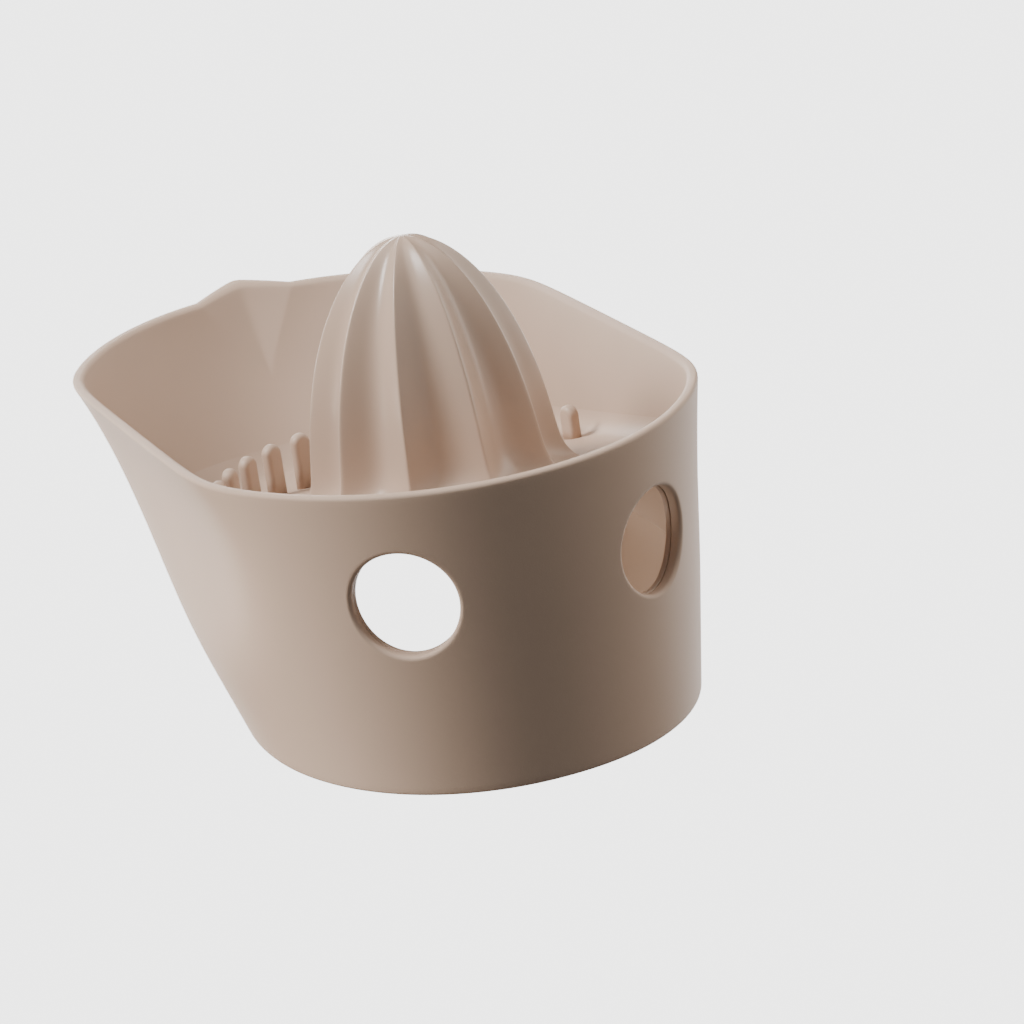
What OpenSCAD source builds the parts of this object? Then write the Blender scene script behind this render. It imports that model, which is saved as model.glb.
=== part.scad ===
// Hand-held citrus juicer: an outer shell with a pouring spout and two finger holes,
// a sloping tray with a skirt and a comb that holds back pips, and a fluted reamer that lifts off.
// Sizes in mm. The base stands on z = 0, the spout points to +Y and the part mirrors about x = 0.

/* [Part] */

// Piece to build

/* [Shell] */

// Height of the rim above the table
body_h = 78.3; // [74:0.1:86]
// Half width of the outline at the base
base_half_w = 56; // [54:0.5:62]
// Half length of the outline at the base
base_half_l = 70; // [66:0.5:76]
// Distance from the reamer axis back to the middle of the base outline
base_back = 1.3; // [-3:0.1:4]
// Half width of the outline at the rim before the sides are hollowed
rim_half_w = 76.6; // [74:0.1:82]
// Half length of the outline at the rim, without the spout
rim_half_l = 116; // [110:0.5:120]
// Distance from the reamer axis back to the middle of the rim outline
rim_back = 42.5; // [38:0.5:46]
// Bulge of the rear wall halfway up
rear_bulge = 12; // [0:1:14]
// Squareness of the outline: 2 is an ellipse
outline_power = 2.1; // [2:0.05:2.4]
// Wall thickness at the front and the sides
wall = 3; // [2.4:0.1:3.6]
// Share of extra wall that the steep rear wall gets along the length
rear_wall_share = 0.4; // [0.2:0.1:0.6]
// Radius that rounds the edges of the lip
lip_round = 1.1; // [0.6:0.1:1.2]
// Radius that rounds the foot edge
foot_round = 0.8; // [0.4:0.1:1.1]

/* [Side hollows] */

// Half width of the shell at the narrowest level of the hollows
waist_half_w = 60.3; // [59:0.1:64]
// Height of that narrowest level above the table
waist_z = 48.1; // [46:0.1:54]
// Radius of the hollow seen from the front
waist_r = 67; // [64:0.5:90]
// Crispness of the edge between the hollow and the shell
hollow_edge = 28; // [16:1:40]

/* [Spout] */

// Reach of the spout beyond the rim
spout_len = 5.5; // [4:0.5:12]
// Half width of the spout at the rim
spout_half_w = 14; // [10:0.5:16]
// Height of the spout crease from its low end to the rim
spout_drop = 21; // [18:1:26]
// Rise of the spout's lip as a share of its reach
spout_lift = 0.45; // [0:0.05:0.6]
// Softness of the fold along the middle of the spout
spout_soft = 0.12; // [0.1:0.01:0.3]

/* [Finger holes] */

// Radius of each finger hole
hole_r = 13.3; // [11:0.1:14]
// Distance of each hole centre from the middle plane
hole_x = 33; // [30:0.1:35]
// Height of the hole centres above the table
hole_z = 50; // [47:0.1:52]
// Angle of each hole axis away from straight ahead
hole_turn = 35.5; // [30:0.5:40]

/* [Rear arch] */

// Height of the arch at the back of the foot
arch_h = 22; // [16:0.5:26]
// Half width of the arch at the table
arch_half_w = 36; // [26:0.5:40]

/* [Tray] */

// Height of the tray's upper face at the reamer axis
floor_z = 56.4; // [54:0.1:58]
// Fall of the tray towards the spout, in degrees
floor_fall = 10; // [8:0.5:12]
// Thickness of the tray
floor_t = 2.5; // [2:0.1:3]
// Thickness of the skirt that lines the shell below the tray
skirt_t = 1.4; // [1.2:0.1:1.8]
// Height of the skirt's lower edge above the table
skirt_z = 31; // [28:0.5:33]
// Gap between the tray and the shell
weld_gap = 0.1; // [0.05:0.01:0.15]

/* [Comb] */

// Number of teeth
tooth_count = 14; // [10:2:14]
// Angle between neighbouring teeth about the comb's centre
tooth_step = 11.3; // [9:0.1:11.6]
// Radius of the row of teeth
comb_r = 51.2; // [49:0.1:53]
// Distance from the reamer axis back to the centre of the row
comb_back = 20.4; // [18:0.1:23]
// Height of the tooth tips above the table
tooth_top_z = 59.3; // [56:0.1:62]
// Width of a tooth along the row
tooth_w = 5.5; // [4:0.1:6.5]
// Thickness of a tooth across the row
tooth_t = 3.4; // [2.4:0.1:4]

/* [Reamer] */

// Height of the reamer tip above the rim
tip_rise = 44.5; // [38:0.5:48]
// Crest radius of the reamer above its foot
cone_r = 31.5; // [30:0.1:33]
// Depth below the tip at which the reamer reaches that radius
cone_h = 56.7; // [54:0.1:58]
// Reach of the curve that rounds the tip
tip_reach = 14; // [10:0.5:18]
// Reach of the curve that carries the side upwards
side_reach = 34.6; // [28:0.1:38]
// Lean of the side above the foot, in degrees
side_lean = 4.4; // [2:0.1:7]
// Number of crests
crest_count = 10; // [8:1:12]
// Turn of the first crest from the spout's opposite side
crest_turn = 5; // [0:0.5:18]
// Depth of a flute as a share of the crest radius
flute_share = 0.18; // [0.1:0.01:0.2]
// Fullness of a flute: lower is flatter in the middle and steeper at the crests
flute_power = 1; // [0.8:0.05:1.2]
// Outward sweep of the foot where it meets the tray
foot_sweep = 6; // [4:0.5:7]
// Height over which the foot sweep dies out
foot_sweep_h = 3; // [2:0.1:3.5]
// Wall thickness of the hollow reamer
cone_wall = 2.6; // [2.2:0.1:3]
// Sides of the reamer between one crest and the next
flute_sides = 12; // [10:2:14]

/* [Reamer seat] */

// Radius of the raised seat on the tray
seat_r = 22; // [19:0.5:22.5]
// Height of the seat above the tray at the reamer axis
seat_h = 7; // [5:0.5:9]
// Width of the two keys that stop the reamer turning
key_w = 5; // [4:0.5:6]
// Reach of the keys beyond the seat
key_reach = 1.2; // [0.8:0.1:1.5]
// Gap between the lift-off reamer and what it sits on
seat_gap = 0.3; // [0.2:0.05:0.4]

/* [Hidden] */

// The reamer axis stands this far in front of the middle of the part
axis_y = -45;
// Points round each outline
ring_n = 120;
// How much the points crowd towards the spout
ring_crowd = 0.6;
// Levels up each side of the shell
side_n = 12;
// Smoothness of the round pieces
fine = 96;
// Reach of the finger hole cuts inwards and outwards from the outer face
hole_cut_in = 8;
hole_cut_out = 12;
// Rings of points up the skirt of the tray
skirt_levels = 3;
// Share of a flute's depth that fades out in the foot
foot_fade = 0.55;
// Depth to which the reamer is drawn below the tray before its foot is cut off
foot_depth = 10;
// Side of the block that cuts feet off along the tray
cut_block = 200;
// How much the reamer's levels crowd towards the tip
tip_crowd = 1.3;
// Levels up the foot, the side and the inner dome of the reamer
foot_levels = 12;
side_levels = 14;
dome_levels = 24;
// Share of the wall by which the inside of the spout reaches less far
spout_inset_share = 0.5;
// Margin by which a cut passes the surface
over = 1;

rim_z = body_h;
tip_z = rim_z + tip_rise;
floor_slope = tan(floor_fall);
hollow_x = waist_half_w + waist_r;
arch_r = (arch_half_w * arch_half_w + arch_h * arch_h) / (2 * arch_h);
seat_top_z = floor_z + seat_h;
socket_r = seat_r + seat_gap;
cone_low_z = floor_z - foot_depth;

// Upper face of the tray above a place along the length
function floor_at(y) = floor_z - (y - axis_y) * floor_slope;

// Angle of one outline point, crowded towards the spout
function ring_angle(i) = 360 * i / ring_n + ring_crowd * sin(360 * i / ring_n) * 180 / PI;

// Signed power, which makes an ellipse a little squarer
function bulged(v) = sign(v) * pow(abs(v), 2 / outline_power);

// Limit that the side hollow puts on the half width at a height
function hollow_at(z) = hollow_x - sqrt(pow(waist_r, 2) - pow(min(z, rim_z) - waist_z, 2));

// Half width held inside the side hollow, with a soft change where the two meet
function limited(x, z, inset) =
    let (g = hollow_at(z) - inset)
    x / pow(1 + pow(abs(x) / g, hollow_edge), 1 / hollow_edge);

// Share of the spout that is open at a height
function spout_share(z) = max(0, 1 - (rim_z - z) / spout_drop);

// Height of the spout's fold at a share of its half width
function spout_fold(u) = sqrt(1 + pow(spout_soft, 2)) - sqrt(pow(u, 2) + pow(spout_soft, 2));

// Push of the spout on a rear point
function spout_push(x, z, inset) =
    let (s = spout_share(z), u = s > 0 ? abs(x) / (spout_half_w * s) : 2)
    u >= 1 ? 0 : (spout_len - inset * spout_inset_share) * s * spout_fold(u) / spout_fold(0);

// Middle and half length of the outline at a height, with the wall taken off
function mid_y(z, inset) =
    axis_y + base_back + (rim_back - base_back) * z / rim_z - inset * rear_wall_share / 2;
function half_l(z, inset) =
    base_half_l + (rim_half_l - base_half_l) * z / rim_z - inset * (1 + rear_wall_share / 2);
function half_w(z, inset) = base_half_w + (rim_half_w - base_half_w) * z / rim_z - inset;

// Outward bulge of the rear wall at an angle and a height
function bulge_at(t, z) = cos(t) < 0 ? rear_bulge * 4 * z / rim_z * (1 - z / rim_z) * pow(cos(t), 2) : 0;

// Outline point at an angle and a height, moved inwards by inset
function wall_point(t, z, inset) =
    let (x = limited(half_w(z, inset) * bulged(sin(t)), z, inset),
         y = mid_y(z, inset) - half_l(z, inset) * bulged(cos(t)) + bulge_at(t, z),
         push = cos(t) < 0 ? spout_push(x, z, inset) : 0)
    [x, y + push, z + push * spout_lift];
function wall_ring(z, inset) = [for (i = [0:ring_n - 1]) wall_point(ring_angle(i), z, inset)];

// Height at which a sloping plane meets the outline at an angle, closed in on in a few steps
function plane_z(t, inset, drop, z = floor_z, steps = 6) =
    steps == 0 ? z
        : plane_z(t, inset, drop, floor_at(wall_point(t, z, inset)[1]) - drop, steps - 1);

// Ring between the skirt's lower edge and the sloping plane
function skirt_ring(share, inset, drop) =
    [for (i = [0:ring_n - 1])
        let (t = ring_angle(i), z = plane_z(t, inset, drop))
        wall_point(t, skirt_z + (z - skirt_z) * share, inset)];

// Triangles that join each ring to the next one
function band(a, b, n) =
    [for (i = [0:n - 1]) each [
        [a * n + i, b * n + i, b * n + (i + 1) % n],
        [a * n + i, b * n + (i + 1) % n, a * n + (i + 1) % n]]];

// Place of the hole centre on the shell's outer face
hole_y = mid_y(hole_z, 0) - half_l(hole_z, 0)
    * pow(1 - pow(hole_x / half_w(hole_z, 0), outline_power), 1 / outline_power);

module finger_holes() {
    for (side = [-1, 1])
        translate([side * hole_x, hole_y, hole_z])
            rotate([0, 0, side * hole_turn])
                rotate([90, 0, 0])
                    translate([0, 0, -hole_cut_in])
                        cylinder(r = hole_r, h = hole_cut_in + hole_cut_out, $fn = fine);
}

module rear_arch() {
    translate([0, axis_y + over, arch_h - arch_r])
        rotate([-90, 0, 0])
            cylinder(r = arch_r, h = base_half_l + rim_half_l, $fn = fine);
}

module outer_shell() {
    outer = [for (k = [0:side_n]) foot_round + (rim_z - lip_round - foot_round) * k / side_n];
    arc = [for (k = [1:3]) 30 * k];
    rings = concat(
        [wall_ring(0, foot_round)],
        [wall_ring(foot_round * (1 - sin(45)), foot_round * (1 - cos(45)))],
        [for (z = outer) wall_ring(z, 0)],
        [for (a = arc) wall_ring(rim_z - lip_round * (1 - sin(a)), lip_round * (1 - cos(a)))],
        [for (k = [0:2]) let (a = arc[2 - k])
            wall_ring(rim_z - lip_round * (1 - sin(a)), wall - lip_round * (1 - cos(a)))],
        [for (k = [0:side_n]) wall_ring(outer[side_n - k], wall)],
        [wall_ring(0, wall)]);
    count = len(rings);
    color([0.78, 0.71, 0.64])
    difference() {
        polyhedron(
            points = [for (r = rings) each r],
            faces = [for (k = [0:count - 1]) each band(k, (k + 1) % count, ring_n)],
            convexity = 8);
        finger_holes();
        rear_arch();
    }
}

// Closed body between a lower and an upper ring of points
module slab(lower, upper) {
    middle = [0, axis_y, floor_z];
    polyhedron(
        points = concat(lower, upper, [middle - [0, 0, floor_t], middle]),
        faces = concat(
            band(0, 1, ring_n),
            [for (i = [0:ring_n - 1]) [i, (i + 1) % ring_n, 2 * ring_n]],
            [for (i = [0:ring_n - 1]) [ring_n + (i + 1) % ring_n, ring_n + i, 2 * ring_n + 1]]),
        convexity = 4);
}

// Sloping plate of the tray with the keyed seat of the reamer
module bowl_tray() {
    out = wall + weld_gap;
    color([0.76, 0.69, 0.62])
    union() {
        slab(skirt_ring(1, out, floor_t), skirt_ring(1, out, 0));
        translate([0, axis_y, floor_z - floor_t / 2])
            cylinder(r = seat_r, h = seat_h + floor_t / 2, $fn = fine);
        translate([-seat_r - key_reach, axis_y - key_w / 2, floor_z - floor_t / 2])
            cube([2 * (seat_r + key_reach), key_w, seat_h + floor_t / 2]);
    }
}

// Skirt that hangs from the tray and lines the shell round the finger holes
module tray_skirt() {
    out = wall + weld_gap;
    in = out + skirt_t;
    rings = concat(
        [for (k = [0:skirt_levels]) skirt_ring(k / skirt_levels, out, floor_t + weld_gap)],
        [for (k = [0:skirt_levels]) skirt_ring(1 - k / skirt_levels, in, floor_t + weld_gap)]);
    count = len(rings);
    color([0.74, 0.67, 0.6])
    difference() {
        polyhedron(
            points = [for (r = rings) each r],
            faces = [for (k = [0:count - 1]) each band(k, (k + 1) % count, ring_n)],
            convexity = 8);
        finger_holes();
    }
}

// Comb tooth: a rounded-top picket that stands square to the row
module tooth(angle) {
    place = [comb_r * sin(angle), axis_y + comb_back + comb_r * cos(angle)];
    low = floor_at(place[1]) - floor_t;
    shaft = tooth_top_z - tooth_w / 2 - low;
    translate([place[0], place[1], low])
        rotate([0, 0, -angle]) {
            translate([-tooth_w / 2, -tooth_t / 2, 0])
                cube([tooth_w, tooth_t, shaft]);
            translate([0, tooth_t / 2, shaft])
                rotate([90, 0, 0])
                    cylinder(r = tooth_w / 2, h = tooth_t, $fn = fine);
        }
}

// Block below a plane at a height above the tray
module below_tray(height) {
    translate([0, axis_y, floor_z + height / cos(floor_fall)])
        rotate([-floor_fall, 0, 0])
            translate([-cut_block / 2, -cut_block / 2, -cut_block])
                cube(cut_block);
}

module pip_comb() {
    color([0.78, 0.71, 0.65])
    difference() {
        for (k = [0:tooth_count - 1])
            tooth((k - (tooth_count - 1) / 2) * tooth_step);
        below_tray(weld_gap);
    }
}

// Side view of the crests: from the tip at share 0 down to the foot at share 1
function side_view(u) =
    let (a = 3 * pow(1 - u, 2) * u, b = 3 * (1 - u) * pow(u, 2), c = pow(u, 3))
    [a * tip_reach + b * (cone_r - side_reach * sin(side_lean)) + c * cone_r,
     tip_z - b * (cone_h - side_reach * cos(side_lean)) - c * cone_h];

// Depth of the flute at an angle, sharp at the crests and round in the flutes
function flute(a) = pow(abs(sin((a - crest_turn) * crest_count / 2)), flute_power);

// Surface radius with flutes and the sweep of the foot
function cone_surface(a, r, z) =
    let (h = max(0, z - floor_at(axis_y - r * cos(a))),
         foot = exp(-h / foot_sweep_h))
    r * (1 - flute_share * flute(a) * (1 - foot_fade * foot)) + foot_sweep * foot;

module cone_blank() {
    n = crest_count * flute_sides;
    low_r = cone_r + (tip_z - cone_h - cone_low_z) * tan(side_lean);
    side = concat(
        [for (k = [0:foot_levels])
            let (u = k / foot_levels)
            [low_r + (cone_r - low_r) * u, cone_low_z + (tip_z - cone_h - cone_low_z) * u]],
        [for (k = [1:side_levels - 1]) side_view(pow(1 - k / side_levels, tip_crowd))]);
    count = len(side);
    polyhedron(
        points = concat(
            [for (p = side) each [for (i = [0:n - 1])
                let (a = crest_turn + 360 * i / n, r = cone_surface(a, p[0], p[1]))
                [r * sin(a), axis_y - r * cos(a), p[1]]]],
            [[0, axis_y, tip_z], [0, axis_y, cone_low_z]]),
        faces = concat(
            [for (k = [0:count - 2]) each band(k, k + 1, n)],
            [for (i = [0:n - 1]) [(count - 1) * n + i, count * n, (count - 1) * n + (i + 1) % n]],
            [for (i = [0:n - 1]) [i, (i + 1) % n, count * n + 1]]),
        convexity = 8);
}

// Room inside the reamer: a socket for the seat with a dome above it
module cone_room() {
    socket_top = seat_top_z + seat_gap;
    dome = [for (k = [1:dome_levels])
        let (p = side_view(k / dome_levels))
        [p[0] * (1 - flute_share) - cone_wall, p[1] - cone_wall]];
    translate([0, axis_y, 0])
        rotate_extrude($fn = fine)
            polygon(concat(
                [[0, cone_low_z - over], [socket_r, cone_low_z - over], [socket_r, socket_top]],
                [for (k = [dome_levels - 1:-1:0])
                    if (dome[k][1] > socket_top && dome[k][0] > 0) [min(socket_r, dome[k][0]), dome[k][1]]],
                [[0, tip_z - cone_wall * 2]]));
}

module reamer_cone() {
    color([0.8, 0.73, 0.66])
    difference() {
        cone_blank();
        cone_room();
        translate([-socket_r - key_reach, axis_y - key_w / 2 - seat_gap, cone_low_z - over])
            cube([2 * (socket_r + key_reach), key_w + 2 * seat_gap,
                seat_top_z + seat_gap - cone_low_z + over]);
        below_tray(seat_gap);
    }
}

outer_shell();
bowl_tray();
tray_skirt();
pip_comb();
reamer_cone();
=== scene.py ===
import math

import bmesh
import bpy
from mathutils import Matrix, Vector


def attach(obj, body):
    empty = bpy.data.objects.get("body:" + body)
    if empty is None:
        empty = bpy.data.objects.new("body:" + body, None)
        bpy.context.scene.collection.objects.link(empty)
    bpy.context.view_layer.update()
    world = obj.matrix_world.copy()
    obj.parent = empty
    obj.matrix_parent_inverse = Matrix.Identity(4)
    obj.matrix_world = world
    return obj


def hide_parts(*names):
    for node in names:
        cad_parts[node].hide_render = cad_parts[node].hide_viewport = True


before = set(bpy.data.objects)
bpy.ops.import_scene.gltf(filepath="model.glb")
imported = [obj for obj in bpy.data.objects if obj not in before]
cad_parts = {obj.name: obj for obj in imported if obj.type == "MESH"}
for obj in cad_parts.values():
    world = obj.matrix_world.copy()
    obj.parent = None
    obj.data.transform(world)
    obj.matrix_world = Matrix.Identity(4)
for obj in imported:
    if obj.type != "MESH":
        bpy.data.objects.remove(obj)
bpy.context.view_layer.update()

MM = 0.001

# Shell sizes in mm, the same as in the part's source
BODY_H = 78.3
BASE_HALF_W, BASE_HALF_L, BASE_BACK = 56.0, 70.0, 1.3
RIM_HALF_W, RIM_HALF_L, RIM_BACK = 76.6, 116.0, 42.5
OUTLINE_POWER = 2.1
WALL, REAR_WALL_SHARE = 3.0, 0.4
LIP_ROUND, FOOT_ROUND = 1.1, 0.8
REAR_BULGE = 12.0
AXIS_Y = -45.0

WAIST_HALF_W, WAIST_Z, WAIST_R, HOLLOW_EDGE = 60.3, 48.1, 67.0, 28.0

SPOUT_LEN, SPOUT_HALF_W, SPOUT_DROP, SPOUT_SOFT = 5.5, 14.0, 21.0, 0.12
SPOUT_LIFT, SPOUT_INSET_SHARE = 0.45, 0.5

SIDES = (-1, 1)
HOLE_R, HOLE_X, HOLE_Z, HOLE_TURN = 13.3, 33.0, 50.0, math.radians(35.5)

ARCH_H, ARCH_HALF_W = 22.0, 36.0
ARCH_R = (ARCH_HALF_W ** 2 + ARCH_H ** 2) / (2 * ARCH_H)

# Tray, comb and seat sizes
FLOOR_Z, FLOOR_SLOPE, FLOOR_T = 56.4, math.tan(math.radians(10)), 2.5
SKIRT_T, SKIRT_Z, WELD_GAP = 1.4, 31.0, 0.1

TOOTH_COUNT, TOOTH_STEP = 14, math.radians(11.3)
COMB_R, COMB_BACK, TOOTH_TOP_Z = 51.2, 20.4, 59.3
TOOTH_W, TOOTH_T = 5.5, 3.4

SEAT_R, SEAT_H = 22.0, 7.0
SEAT_TOP = FLOOR_Z + SEAT_H
KEY_W, KEY_REACH, SEAT_GAP = 5.0, 1.2, 0.3

# Reamer sizes
TIP_Z = BODY_H + 44.5
CONE_R, CONE_H, CONE_WALL = 31.5, 56.7, 2.6
TIP_REACH, SIDE_REACH, SIDE_LEAN = 14.0, 34.6, math.radians(4.4)
CREST_COUNT, CREST_TURN = 10, math.radians(5)
FLUTE_SHARE, FLUTE_POWER = 0.18, 1.0
FOOT_SWEEP, FOOT_SWEEP_H, FOOT_FADE = 6.0, 3.0, 0.55

# Roundings that only the scene has, in mm or as a share
INNER_FOOT_ROUND = 0.4
HOLE_FILLET, INNER_FILLET_SHARE = 1.0, 0.4
SKIRT_FILLET, SKIRT_RIM, SKIRT_SOFT, SKIRT_SOFT_IN = 0.2, 0.3, 0.2, 0.5
COVE_REACH, COVE_SINK = 6.0, 0.05
SEAT_SOFT, SEAT_SOFT_SHARE = 0.6, 0.3
TOOTH_SOFT, TOOTH_SINK = 1.4, 1.0
CREST_SOFT = 0.05

# Fineness of the meshes, in columns round the part, rows up it and steps round an edge
COLUMNS, WALL_ROWS, SKIRT_ROWS = 480, 60, 30
EDGE_STEPS, FOOT_STEPS, INNER_STEPS, BORE_STEPS = 6, 4, 2, 3
COVE_STEPS, RING_STEPS, TOOTH_ARC = 10, 8, 9
CREST_COLUMNS, CONE_FOOT_ROWS, CONE_SIDE_ROWS, CAVITY_ROWS = 64, 40, 90, 24
CAVITY_LEAST_R = 0.5
FOOT_CROWDING, TIP_CROWDING, RING_CROWDING, SPOUT_CROWDING = 1.5, 1.3, 1.5, 0.6
FLOOR_RINGS, UNDER_RINGS = (0.15, 0.35, 0.6, 0.8, 0.95, 1.0), (0.1, 0.4, 0.7, 0.95)

# Rounds of the searches, and the share of the way round and up where a finger hole's starts
SETTLE_ROUNDS, ARCH_ROUNDS, HOLE_ROUNDS = 8, 24, 30
ARCH_LEAST_Z = 0.01
HOLE_START_COLUMN, HOLE_START_ROW, HOLE_MARGIN = 0.08, 0.6, 7
HALF_COLUMN, PROBE = 0.5, 0.01

# Plastic: scale and depth of its fine grain, and the two close beiges of its faint cloud
GRAIN_SCALE, GRAIN_DETAIL, GRAIN_DEPTH = 2600, 2, 0.00004
CLOUD_SCALE, CLOUD_DETAIL, CLOUD_FROM, CLOUD_TO = 18, 3, 0.35, 0.65
DARKER_BEIGE, LIGHTER_BEIGE = (0.445, 0.323, 0.245, 1), (0.465, 0.337, 0.256, 1)
PLASTIC_IOR = 1.46

# Stage, with lengths in m
FLOOR_HALF, FLOOR_DROP, FLOOR_GLOW = 6, 0.0005, 3.7
SUN_DISTANCE, WORLD_LIGHT = 2, 0.11
WARM_LOW, WARM_SIDE = (1, 0.88, 0.76), (1, 0.92, 0.84)

# Camera: its place in mm, its angles in degrees and its focal length in pixels
CAMERA_PLACE = (-303.24, -1009.78, 362.69)
CAMERA_AZIMUTH, CAMERA_HEIGHT, CAMERA_ROLL = -18.4029, 17.3, -8.6835
FOCAL_PIXELS, FRAME_PIXELS, SENSOR_MM = 4200, 1024, 36


def signed_power(v):
    return math.copysign(abs(v) ** (2 / OUTLINE_POWER), v)


def hollow_at(z):
    """Half width that the hollowed sides leave at a height."""
    return WAIST_HALF_W + WAIST_R - math.sqrt(WAIST_R ** 2 - (min(z, BODY_H) - WAIST_Z) ** 2)


def spout_fold(u):
    return math.hypot(1, SPOUT_SOFT) - math.hypot(u, SPOUT_SOFT)


def spout_push(x, z, inset):
    """How far the spout stands out of the rear wall."""
    share = max(0.0, 1 - (BODY_H - z) / SPOUT_DROP)
    if share <= 0:
        return 0.0
    u = abs(x) / (SPOUT_HALF_W * share)
    if u >= 1:
        return 0.0
    return (SPOUT_LEN - inset * SPOUT_INSET_SHARE) * share * spout_fold(u) / spout_fold(0)


def middle(z, inset):
    return AXIS_Y + BASE_BACK + (RIM_BACK - BASE_BACK) * z / BODY_H - inset * REAR_WALL_SHARE / 2


def half_length(z, inset):
    return (BASE_HALF_L + (RIM_HALF_L - BASE_HALF_L) * z / BODY_H
            - inset * (1 + REAR_WALL_SHARE / 2))


def half_width(z, inset):
    return BASE_HALF_W + (RIM_HALF_W - BASE_HALF_W) * z / BODY_H - inset


def wall_point(t, z, inset):
    """Point of the outline at an angle and a height, moved inwards by inset."""
    limit = hollow_at(z) - inset
    x = half_width(z, inset) * signed_power(math.sin(t))
    x /= (1 + (abs(x) / limit) ** HOLLOW_EDGE) ** (1 / HOLLOW_EDGE)
    y = middle(z, inset) - half_length(z, inset) * signed_power(math.cos(t))
    push = 0.0
    if math.cos(t) < 0:
        y += REAR_BULGE * 4 * z / BODY_H * (1 - z / BODY_H) * math.cos(t) ** 2
        push = spout_push(x, z, inset)
    return Vector((x, y + push, z + push * SPOUT_LIFT))


def floor_at(y):
    return FLOOR_Z - (y - AXIS_Y) * FLOOR_SLOPE


def plane_z(t, inset, drop):
    """Height at which the tray's plane, lowered by drop, meets the outline at an angle."""
    z = FLOOR_Z
    for _ in range(SETTLE_ROUNDS):
        z = floor_at(wall_point(t, z, inset).y) - drop
    return z


def ring_angle(u):
    """Angle of a share of the way round, with the points crowded towards the spout."""
    return 2 * math.pi * u + SPOUT_CROWDING * math.sin(2 * math.pi * u)


def foot_z(t, inset):
    """Lower edge of the wall: the table, or the curve of the rear arch."""
    if math.cos(t) > 0:
        return 0.0
    low, high = 0.0, ARCH_H
    for _ in range(ARCH_ROUNDS):
        mid = (low + high) / 2
        p = wall_point(t, mid, inset)
        inside = p.x ** 2 + (mid - ARCH_H + ARCH_R) ** 2 < ARCH_R ** 2
        low, high = (mid, high) if inside else (low, mid)
    return low if low > ARCH_LEAST_Z else 0.0


HOLE_Y = middle(HOLE_Z, 0) - half_length(HOLE_Z, 0) * (
    1 - (HOLE_X / half_width(HOLE_Z, 0)) ** OUTLINE_POWER) ** (1 / OUTLINE_POWER)


def hole_frame(side):
    """Centre of a finger hole, its axis outwards and the level way across it."""
    out = Vector((side * math.sin(HOLE_TURN), -math.cos(HOLE_TURN), 0))
    across = Vector((math.cos(HOLE_TURN), side * math.sin(HOLE_TURN), 0))
    return Vector((side * HOLE_X, HOLE_Y, HOLE_Z)), out, across


def quarter(steps, first=1):
    """Angles of a quarter turn in equal steps, from step 1 or from the start."""
    return [math.radians(90 * k / steps) for k in range(first, steps + 1)]


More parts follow.
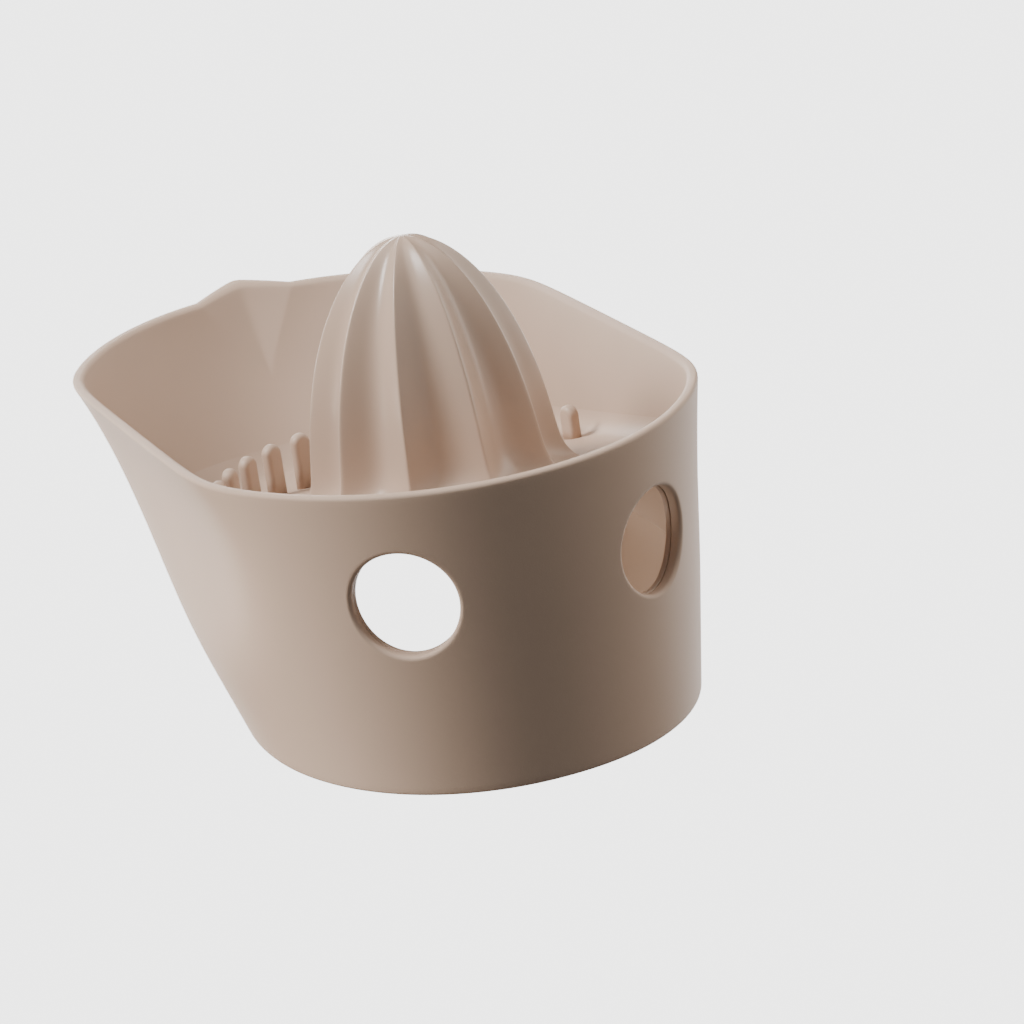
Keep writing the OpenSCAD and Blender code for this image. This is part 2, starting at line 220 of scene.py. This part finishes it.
class Sheet:
    """One side of a wall, as a grid round the outline with the finger holes left open.

    Rows run from the lower edge to the upper one. Inside a window round each hole
    the grid is replaced by rings that end in the hole's circle."""

    def __init__(self, mesh, rows, low, high, inset, flip, hole_edge):
        self.mesh, self.rows = mesh, rows
        self.low = [low(ring_angle(i / COLUMNS)) for i in range(COLUMNS)]
        self.high = [high(ring_angle(i / COLUMNS)) for i in range(COLUMNS)]
        self.inset, self.flip = inset, flip
        self.grid = {}
        self.rims = {}
        windows = [self.window(side) for side in SIDES]
        for i in range(COLUMNS):
            for j in range(rows + 1):
                if not any(self.inside(w, i, j) for w in windows):
                    self.grid[i, j] = mesh.verts.new(self.place(i, j / rows) * MM)
        for i in range(COLUMNS):
            for j in range(rows):
                if not any(self.covers(w, i, j) for w in windows):
                    n = (i + 1) % COLUMNS
                    self.face([self.grid[i, j], self.grid[n, j],
                               self.grid[n, j + 1], self.grid[i, j + 1]])
        for side, w in zip(SIDES, windows):
            self.rims[side] = self.patch(side, w, hole_edge)

    def face(self, verts):
        self.mesh.faces.new(verts[::-1] if self.flip else verts)

    def row(self, j):
        return [self.grid[i, j] for i in range(COLUMNS)]

    def place(self, column, v):
        """Point at a column, which may lie between two, and at a share of the height."""
        c = column % COLUMNS
        whole = int(math.floor(c))
        part = c - whole
        a, b = whole % COLUMNS, (whole + 1) % COLUMNS
        low = self.low[a] * (1 - part) + self.low[b] * part
        high = self.high[a] * (1 - part) + self.high[b] * part
        t = ring_angle(c / COLUMNS)
        return wall_point(t, low + (high - low) * v, self.inset)

    def slopes(self, c, v):
        """Way that one column covers, and rise over the whole height, both at a place."""
        way = self.place(c + HALF_COLUMN, v) - self.place(c - HALF_COLUMN, v)
        rise = (self.place(c, min(v + PROBE, 1)) - self.place(c, v - PROBE)).z / (2 * PROBE)
        return way, rise

    def centre(self, side):
        """Column and row share where the hole's axis meets this sheet."""
        origin, out, across = hole_frame(side)
        share = HOLE_START_COLUMN if side > 0 else 1 - HOLE_START_COLUMN
        c, v = COLUMNS * share, HOLE_START_ROW
        for _ in range(HOLE_ROUNDS):
            p = self.place(c, v) - origin
            way, rise = self.slopes(c, v)
            c -= p.dot(across) / way.dot(across)
            v -= p.z / rise
        return c, v

    def window(self, side):
        """Block of the grid that makes room for a finger hole."""
        c, v = self.centre(side)
        reach = HOLE_R + HOLE_MARGIN
        way, rise = self.slopes(c, v)
        half_c = math.ceil(reach / way.length)
        half_v = max(2, math.ceil(reach / rise * self.rows))
        mid_c, mid_v = round(c), round(v * self.rows)
        top = min(self.rows - 1, mid_v + half_v)
        bottom = max(1, mid_v - half_v)
        return {"c": c, "v": v, "low": (mid_c - half_c, bottom), "high": (mid_c + half_c, top)}

    def inside(self, w, i, j):
        return (any(w["low"][0] < i + k < w["high"][0] for k in (-COLUMNS, 0, COLUMNS))
                and w["low"][1] < j < w["high"][1])

    def covers(self, w, i, j):
        return (any(w["low"][0] <= i + k < w["high"][0] for k in (-COLUMNS, 0, COLUMNS))
                and w["low"][1] <= j < w["high"][1])

    def patch(self, side, w, radius):
        """Rings from the window's edge to the circle of the hole; returns the last one."""
        origin, out, across = hole_frame(side)
        (c0, r0), (c1, r1) = w["low"], w["high"]
        edge = ([(c, r0) for c in range(c0, c1)] + [(c1, r) for r in range(r0, r1)]
                + [(c, r1) for c in range(c1, c0, -1)] + [(c0, r) for r in range(r1, r0, -1)])
        targets = []
        for c, r in edge:
            dc, dv = c - w["c"], r / self.rows - w["v"]
            low, high = 0.0, 1.0
            for _ in range(HOLE_ROUNDS):
                m = (low + high) / 2
                p = self.place(w["c"] + dc * m, w["v"] + dv * m) - origin
                if math.hypot(p.dot(across), p.z) < radius:
                    low = m
                else:
                    high = m
            targets.append((dc, dv, low))
        previous = [self.grid[c % COLUMNS, r] for c, r in edge]
        for k in range(1, RING_STEPS + 1):
            share = 1 - (1 - k / RING_STEPS) ** RING_CROWDING
            ring = []
            for dc, dv, inner in targets:
                m = 1 + (inner - 1) * share
                ring.append(self.mesh.verts.new(
                    self.place(w["c"] + dc * m, w["v"] + dv * m) * MM))
            for a in range(len(ring)):
                b = (a + 1) % len(ring)
                self.face([previous[a], previous[b], ring[b], ring[a]])
            previous = ring
        return previous


def join_rings(mesh, a, b):
    for i in range(len(a)):
        n = (i + 1) % len(a)
        mesh.faces.new([a[i], a[n], b[n], b[i]])


def ring_of(mesh, points):
    return [mesh.verts.new(p * MM) for p in points]


def bore(mesh, side, outer, inner, fillet):
    """Rounded edges and straight wall between the two rims of a finger hole."""
    origin, out, across = hole_frame(side)
    inner_fillet = fillet * INNER_FILLET_SHARE

    def polar(vert):
        p = vert.co / MM - origin
        return math.atan2(p.z, p.dot(across)), p.dot(out)

    angles = [polar(v) for v in outer]
    inner_angles = sorted(polar(v) for v in inner)

    def inner_depth(angle):
        for k in range(len(inner_angles)):
            a0, d0 = inner_angles[k - 1]
            a1, d1 = inner_angles[k]
            if k == 0:
                a0 -= 2 * math.pi
            if a0 <= angle <= a1:
                return d0 + (d1 - d0) * (angle - a0) / max(a1 - a0, 1e-9)
        return inner_angles[0][1]

    def circle(radius, depth_of):
        return ring_of(mesh, [origin + across * (radius * math.cos(a))
                              + Vector((0, 0, radius * math.sin(a))) + out * depth_of(a, d)
                              for a, d in angles])

    rings = [outer]
    for turn in quarter(EDGE_STEPS):
        rings.append(circle(HOLE_R + fillet * (1 - math.sin(turn)),
                            lambda a, d: d - fillet * (1 - math.cos(turn))))
    rings.append(circle(HOLE_R, lambda a, d: (d - fillet + inner_depth(a) + inner_fillet) / 2))
    for turn in quarter(BORE_STEPS, first=0):
        rings.append(circle(HOLE_R + inner_fillet * (1 - math.cos(turn)),
                            lambda a, d: inner_depth(a) + inner_fillet * (1 - math.sin(turn))))
    return rings


def stitch(mesh, a, b):
    """Fill between two closed loops whose points are at different angles."""
    edges = []
    for loop in (a, b):
        for i in range(len(loop)):
            pair = (loop[i], loop[(i + 1) % len(loop)])
            edges.append(mesh.edges.get(pair) or mesh.edges.new(pair))
    bmesh.ops.bridge_loops(mesh, edges=edges)


def line_holes(mesh, outer, inner, fillet):
    """Close a wall between its two sheets in both finger holes."""
    for side in SIDES:
        rings = bore(mesh, side, outer.rims[side], inner.rims[side], fillet)
        for a, b in zip(rings, rings[1:]):
            join_rings(mesh, a, b)
        stitch(mesh, rings[-1], inner.rims[side])


def finish_mesh(mesh, name):
    bmesh.ops.recalc_face_normals(mesh, faces=mesh.faces)
    data = bpy.data.meshes.new(name)
    mesh.to_mesh(data)
    mesh.free()
    obj = bpy.data.objects.new(name, data)
    bpy.context.scene.collection.objects.link(obj)
    for poly in data.polygons:
        poly.use_smooth = True
    return obj


def build_shell():
    mesh = bmesh.new()
    top = BODY_H - LIP_ROUND
    outer = Sheet(mesh, WALL_ROWS, lambda t: foot_z(t, 0) + FOOT_ROUND, lambda t: top,
                  0, False, HOLE_R + HOLE_FILLET)
    inner = Sheet(mesh, WALL_ROWS, lambda t: foot_z(t, WALL) + INNER_FOOT_ROUND, lambda t: top,
                  WALL, True, HOLE_R + HOLE_FILLET * INNER_FILLET_SHARE)
    angles = [ring_angle(i / COLUMNS) for i in range(COLUMNS)]

    def lip_ring(turn, inset):
        return ring_of(mesh, [wall_point(t, top + LIP_ROUND * math.sin(turn), inset)
                              for t in angles])

    last = outer.row(WALL_ROWS)
    for turn in quarter(EDGE_STEPS):
        ring = lip_ring(turn, LIP_ROUND * (1 - math.cos(turn)))
        join_rings(mesh, last, ring)
        last = ring
    for turn in reversed(quarter(EDGE_STEPS)):
        ring = lip_ring(turn, WALL - LIP_ROUND * (1 - math.cos(turn)))
        join_rings(mesh, last, ring)
        last = ring
    join_rings(mesh, last, inner.row(WALL_ROWS))

    last = outer.row(0)
    for turn in quarter(FOOT_STEPS):
        ring = ring_of(mesh, [wall_point(t, foot_z(t, 0) + FOOT_ROUND * (1 - math.sin(turn)),
                                         FOOT_ROUND * (1 - math.cos(turn))) for t in angles])
        join_rings(mesh, ring, last)
        last = ring
    for turn in quarter(INNER_STEPS, first=0)[:-1]:
        rise = INNER_FOOT_ROUND * (1 - math.cos(turn))
        inset = WALL - INNER_FOOT_ROUND * (1 - math.sin(turn))
        ring = ring_of(mesh, [wall_point(t, foot_z(t, WALL) + rise, inset) for t in angles])
        join_rings(mesh, ring, last)
        last = ring
    join_rings(mesh, inner.row(0), last)
    line_holes(mesh, outer, inner, HOLE_FILLET)
    return finish_mesh(mesh, "shell_smooth")


def build_tray():
    """Sloping floor with its seat, and the skirt that lines the shell below it."""
    mesh = bmesh.new()
    out = WALL + WELD_GAP
    inn = out + SKIRT_T
    angles = [ring_angle(i / COLUMNS) for i in range(COLUMNS)]
    outer = Sheet(mesh, SKIRT_ROWS, lambda t: SKIRT_Z + SKIRT_SOFT, lambda t: plane_z(t, out, 0),
                  out, False, HOLE_R + SKIRT_FILLET)
    inner = Sheet(mesh, SKIRT_ROWS, lambda t: SKIRT_Z + SKIRT_SOFT_IN,
                  lambda t: plane_z(t, inn, FLOOR_T), inn, True, HOLE_R + SKIRT_RIM)
    low = ring_of(mesh, [wall_point(t, SKIRT_Z, out + SKIRT_SOFT) for t in angles])
    low_in = ring_of(mesh, [wall_point(t, SKIRT_Z, inn - SKIRT_SOFT_IN) for t in angles])
    join_rings(mesh, low, outer.row(0))
    join_rings(mesh, low_in, low)
    join_rings(mesh, inner.row(0), low_in)
    line_holes(mesh, outer, inner, SKIRT_FILLET)
    edge = [wall_point(t, plane_z(t, out, 0), out) for t in angles]
    heading = [Vector((p.x, p.y - AXIS_Y, 0)).normalized() for p in edge]
    last = add_cove(mesh, outer.row(SKIRT_ROWS), angles, edge, heading)
    add_floor(mesh, last, [math.atan2(way.x, -way.y) for way in heading])
    add_underside(mesh, inner.row(SKIRT_ROWS))
    return finish_mesh(mesh, "tray_smooth")


def add_cove(mesh, last, angles, edge, heading):
    """Hollow rounding from the wall to the floor, sharp where it meets the wall."""
    starts = [wall_point(t, p.z + COVE_REACH, WALL - COVE_SINK) for t, p in zip(angles, edge)]
    ends = [p - way * COVE_REACH for p, way in zip(edge, heading)]
    for p in ends:
        p.z = floor_at(p.y)
    for k in range(COVE_STEPS + 1):
        u = k / COVE_STEPS
        verts = ring_of(mesh, [a * (1 - u) ** 2 + b * (2 * u * (1 - u)) + c * u ** 2
                               for a, b, c in zip(starts, edge, ends)])
        join_rings(mesh, last, verts)
        last = verts
        if k == 0:
            for a, b in zip(verts, verts[1:] + verts[:1]):
                mesh.edges.get((a, b)).smooth = False
    return last


def add_floor(mesh, last, turns):
    """Upper face of the floor, then the seat with its keys and soft upper edge."""
    base = [v.co / MM for v in last]
    foot = []
    for a in turns:
        r = keyed_radius(a, 0)
        foot.append((r * math.sin(a), AXIS_Y - r * math.cos(a)))
    for share in FLOOR_RINGS:
        ring = []
        for p, (x, y) in zip(base, foot):
            here = p.y + (y - p.y) * share
            ring.append(Vector((p.x + (x - p.x) * share, here, floor_at(here))))
        verts = ring_of(mesh, ring)
        join_rings(mesh, last, verts)
        last = verts
    nearly = SEAT_SOFT * SEAT_SOFT_SHARE
    for inset, drop in ((0, SEAT_SOFT), (nearly, nearly), (SEAT_SOFT, 0), (SEAT_R / 2, 0)):
        ring = []
        for a in turns:
            r = keyed_radius(a, 0) - inset
            ring.append(Vector((r * math.sin(a), AXIS_Y - r * math.cos(a), SEAT_TOP - drop)))
        verts = ring_of(mesh, ring)
        join_rings(mesh, last, verts)
        last = verts
    mesh.faces.new(last)


def add_underside(mesh, last):
    """Lower face of the floor, flat from the skirt to the reamer's axis."""
    under = [v.co / MM for v in last]
    for share in UNDER_RINGS:
        ring = []
        for p in under:
            x, y = p.x * (1 - share), p.y + (AXIS_Y - p.y) * share
            ring.append(Vector((x, y, floor_at(y) - FLOOR_T)))
        verts = ring_of(mesh, ring)
        join_rings(mesh, verts, last)
        last = verts
    mesh.faces.new(last)


def add_tooth(mesh, index):
    """Comb tooth: a picket with a round top and edges rounded all the way up."""
    angle = (index - (TOOTH_COUNT - 1) / 2) * TOOTH_STEP
    x, y = COMB_R * math.sin(angle), AXIS_Y + COMB_BACK + COMB_R * math.cos(angle)
    low = floor_at(y) - TOOTH_SINK
    top = TOOTH_TOP_Z - TOOTH_W / 2 - low
    across = Vector((math.cos(angle), -math.sin(angle), 0))
    ahead = Vector((math.sin(angle), math.cos(angle), 0))
    place = Vector((x, y, low))
    profile = [(-TOOTH_T / 2 + TOOTH_SOFT * (1 - math.sin(turn)),
                TOOTH_SOFT * (1 - math.cos(turn))) for turn in quarter(EDGE_STEPS, first=0)]
    profile = profile[::-1] + [(-depth, inset) for depth, inset in profile]
    rings = []
    for depth, inset in profile:
        half = TOOTH_W / 2 - inset
        outline = [(half, 0), (half, top / 2)]
        outline += [(half * math.cos(math.radians(a)), top + half * math.sin(math.radians(a)))
                    for a in range(0, 181, TOOTH_ARC)]
        outline += [(-half, top / 2), (-half, 0)]
        rings.append(ring_of(mesh, [place + across * px + ahead * depth + Vector((0, 0, pz))
                                    for px, pz in outline]))
    for a, b in zip(rings, rings[1:]):
        join_rings(mesh, a, b)
    mesh.faces.new(rings[0])
    mesh.faces.new(rings[-1][::-1])


def build_comb():
    mesh = bmesh.new()
    for index in range(TOOTH_COUNT):
        add_tooth(mesh, index)
    return finish_mesh(mesh, "comb_smooth")


def side_view(u):
    """Crest radius and height down the reamer's side, from the tip at 0 to the foot at 1."""
    a, b, c = 3 * (1 - u) ** 2 * u, 3 * (1 - u) * u ** 2, u ** 3
    return (a * TIP_REACH + b * (CONE_R - SIDE_REACH * math.sin(SIDE_LEAN)) + c * CONE_R,
            TIP_Z - b * (CONE_H - SIDE_REACH * math.cos(SIDE_LEAN)) - c * CONE_H)


def flute(a):
    """Depth of the flutes at an angle: narrow rounded crests, steep sides, wide floors."""
    def depth(wave):
        return math.hypot(wave, CREST_SOFT) ** FLUTE_POWER - CREST_SOFT ** FLUTE_POWER
    return depth(abs(math.sin((a - CREST_TURN) * CREST_COUNT / 2))) / depth(1)


def cone_point(a, r, z):
    """Point of the reamer's side: fluted, and swept out where it nears the tray."""
    h = max(0.0, z - floor_at(AXIS_Y - r * math.cos(a)))
    foot = math.exp(-h / FOOT_SWEEP_H)
    r = r * (1 - FLUTE_SHARE * flute(a) * (1 - FOOT_FADE * foot)) + FOOT_SWEEP * foot
    return Vector((r * math.sin(a), AXIS_Y - r * math.cos(a), z))


def lower_side(z):
    return CONE_R + (TIP_Z - CONE_H - z) * math.tan(SIDE_LEAN)


def foot_height(a):
    """Height of the reamer's lower edge at an angle, where it stands on the tray."""
    z = FLOOR_Z
    for _ in range(SETTLE_ROUNDS):
        z = floor_at(cone_point(a, lower_side(z), z).y) + SEAT_GAP
    return z


def keyed_radius(a, gap):
    """Radius of the seat with its two keys, or of the socket round it."""
    if abs(math.cos(a)) * (SEAT_R + KEY_REACH + gap) < KEY_W / 2 + gap:
        return (SEAT_R + KEY_REACH + gap) / abs(math.sin(a))
    return SEAT_R + gap


def add_socket(mesh, last, angles):
    """Underside of the foot, the keyed socket over the seat and the hollow above it."""
    roof = SEAT_TOP + SEAT_GAP
    # None stands for the keyed outline and for the slope of the tray
    cavity = [(None, None), (None, roof), (SEAT_R + SEAT_GAP, roof)]
    for k in range(CAVITY_ROWS, 0, -1):
        r, z = side_view(k / CAVITY_ROWS)
        r, z = r * (1 - FLUTE_SHARE) - CONE_WALL, z - CONE_WALL
        if z > roof and r > CAVITY_LEAST_R:
            cavity.append((min(SEAT_R + SEAT_GAP, r), z))
    for r, z in cavity:
        ring = []
        for a in angles:
            reach = keyed_radius(a, SEAT_GAP) if r is None else r
            y = AXIS_Y - reach * math.cos(a)
            height = floor_at(y) + SEAT_GAP if z is None else z
            ring.append(Vector((reach * math.sin(a), y, height)))
        verts = ring_of(mesh, ring)
        join_rings(mesh, verts, last)
        last = verts
    mesh.faces.new(last)


def build_cone():
    mesh = bmesh.new()
    n = CREST_COUNT * CREST_COLUMNS
    angles = [CREST_TURN + 2 * math.pi * i / n for i in range(n)]
    low = [foot_height(a) for a in angles]
    shoulder = TIP_Z - CONE_H
    rings = []
    for k in range(CONE_FOOT_ROWS):
        share = (k / CONE_FOOT_ROWS) ** FOOT_CROWDING
        heights = [z + (shoulder - z) * share for z in low]
        rings.append(ring_of(mesh, [cone_point(a, lower_side(z), z)
                                    for a, z in zip(angles, heights)]))
    for k in range(CONE_SIDE_ROWS):
        r, z = side_view((1 - k / CONE_SIDE_ROWS) ** TIP_CROWDING)
        rings.append(ring_of(mesh, [cone_point(a, r, z) for a in angles]))
    for a, b in zip(rings, rings[1:]):
        join_rings(mesh, a, b)
    tip = mesh.verts.new(Vector((0, AXIS_Y, TIP_Z)) * MM)
    for i in range(n):
        mesh.faces.new([rings[-1][i], rings[-1][(i + 1) % n], tip])
    add_socket(mesh, rings[0], angles)
    return finish_mesh(mesh, "reamer_smooth")


def plastic(name, grain, roughness, gloss):
    """Beige plastic with a fine moulded grain and a faint cloud in its colour."""
    mat = bpy.data.materials.new(name)
    mat.use_nodes = True
    nodes, links = mat.node_tree.nodes, mat.node_tree.links
    shader = nodes["Principled BSDF"]
    shader.inputs["Roughness"].default_value = roughness
    shader.inputs["IOR"].default_value = PLASTIC_IOR
    shader.inputs["Specular IOR Level"].default_value = gloss
    place = nodes.new("ShaderNodeTexCoord")
    cloud = nodes.new("ShaderNodeTexNoise")
    cloud.inputs["Scale"].default_value = CLOUD_SCALE
    cloud.inputs["Detail"].default_value = CLOUD_DETAIL
    ramp = nodes.new("ShaderNodeValToRGB")
    darker, lighter = ramp.color_ramp.elements
    darker.position, darker.color = CLOUD_FROM, DARKER_BEIGE
    lighter.position, lighter.color = CLOUD_TO, LIGHTER_BEIGE
    fine = nodes.new("ShaderNodeTexNoise")
    fine.inputs["Scale"].default_value = GRAIN_SCALE
    fine.inputs["Detail"].default_value = GRAIN_DETAIL
    bump = nodes.new("ShaderNodeBump")
    bump.inputs["Strength"].default_value = grain
    bump.inputs["Distance"].default_value = GRAIN_DEPTH
    links.new(place.outputs["Object"], cloud.inputs["Vector"])
    links.new(place.outputs["Object"], fine.inputs["Vector"])
    links.new(cloud.outputs["Fac"], ramp.inputs["Fac"])
    links.new(ramp.outputs["Color"], shader.inputs["Base Color"])
    links.new(fine.outputs["Fac"], bump.inputs["Height"])
    links.new(bump.outputs["Normal"], shader.inputs["Normal"])
    return mat


def dress(obj, mat, body, slot, *nodes):
    obj.data.materials.clear()
    obj.data.materials.append(mat)
    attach(obj, body)
    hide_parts(*nodes)


MATT = plastic("shell_matt", grain=0.35, roughness=0.55, gloss=0.15)
SATIN = plastic("tray_satin", grain=0.15, roughness=0.4, gloss=0.25)
SMOOTH = plastic("reamer_satin", grain=0.1, roughness=0.3, gloss=0.5)

dress(build_shell(), MATT, "body", "shell", "outer_shell")
dress(build_tray(), SATIN, "body", "tray", "bowl_tray", "tray_skirt")
dress(build_comb(), SATIN, "body", "tray", "pip_comb")
dress(build_cone(), SMOOTH, "reamer", "reamer", "reamer_cone")


def stage_floor():
    """Pale floor that glows evenly and neither lights nor shades the part."""
    mesh = bmesh.new()
    bmesh.ops.create_grid(mesh, x_segments=2, y_segments=2, size=FLOOR_HALF)
    obj = finish_mesh(mesh, "studio_floor")
    obj.location.z = -FLOOR_DROP
    mat = bpy.data.materials.new("pale_floor")
    mat.use_nodes = True
    shader = mat.node_tree.nodes["Principled BSDF"]
    shader.inputs["Base Color"].default_value = (0, 0, 0, 1)
    shader.inputs["Roughness"].default_value = 1
    shader.inputs["Specular IOR Level"].default_value = 0
    shader.inputs["Emission Color"].default_value = (1, 1, 0.995, 1)
    shader.inputs["Emission Strength"].default_value = FLOOR_GLOW
    obj.data.materials.append(mat)
    obj.visible_diffuse = obj.visible_glossy = obj.visible_shadow = False


def soft_sun(name, azimuth, height, power, angle=50, colour=(1, 1, 1)):
    """Wide soft light from an azimuth, 0 at the front and 90 at the right, and a height."""
    data = bpy.data.lights.new(name, "SUN")
    data.angle = math.radians(angle)
    data.energy = power
    data.color = colour
    obj = bpy.data.objects.new(name, data)
    bpy.context.scene.collection.objects.link(obj)
    a, e = math.radians(azimuth), math.radians(height)
    way = Vector((math.cos(e) * math.sin(a), -math.cos(e) * math.cos(a), math.sin(e)))
    obj.location = way * SUN_DISTANCE
    obj.rotation_euler = (-way).to_track_quat("-Z", "Y").to_euler()


def studio_light():
    soft_sun("key_left", -103, 50, 6.0, angle=30)
    soft_sun("top", 0, 85, 1.0)
    soft_sun("rim_back", 180, 0, 4.5)
    soft_sun("low_left", -118, -25, 3.2, colour=WARM_LOW)
    soft_sun("side_right", 93, 20, 2.0, colour=WARM_SIDE)
    soft_sun("low_right", 130, -20, 2.2)
    soft_sun("fill_front", 45, 10, 0.5)
    world = bpy.data.worlds.new("studio")
    world.use_nodes = True
    background = world.node_tree.nodes["Background"]
    background.inputs["Color"].default_value = (1, 1, 1, 1)
    background.inputs["Strength"].default_value = WORLD_LIGHT
    bpy.context.scene.world = world


def photo_camera():
    """Camera at the photograph's viewing angle."""
    data = bpy.data.cameras.new("view")
    data.sensor_width = SENSOR_MM
    data.lens = SENSOR_MM * FOCAL_PIXELS / FRAME_PIXELS
    data.clip_start, data.clip_end = 0.01, 30
    camera = bpy.data.objects.new("view", data)
    bpy.context.scene.collection.objects.link(camera)
    camera.matrix_world = (Matrix.Translation(Vector(CAMERA_PLACE) * MM)
                           @ Matrix.Rotation(math.radians(CAMERA_AZIMUTH), 4, "Z")
                           @ Matrix.Rotation(math.radians(90 - CAMERA_HEIGHT), 4, "X")
                           @ Matrix.Rotation(math.radians(CAMERA_ROLL), 4, "Z"))
    bpy.context.scene.camera = camera


stage_floor()
studio_light()
photo_camera()
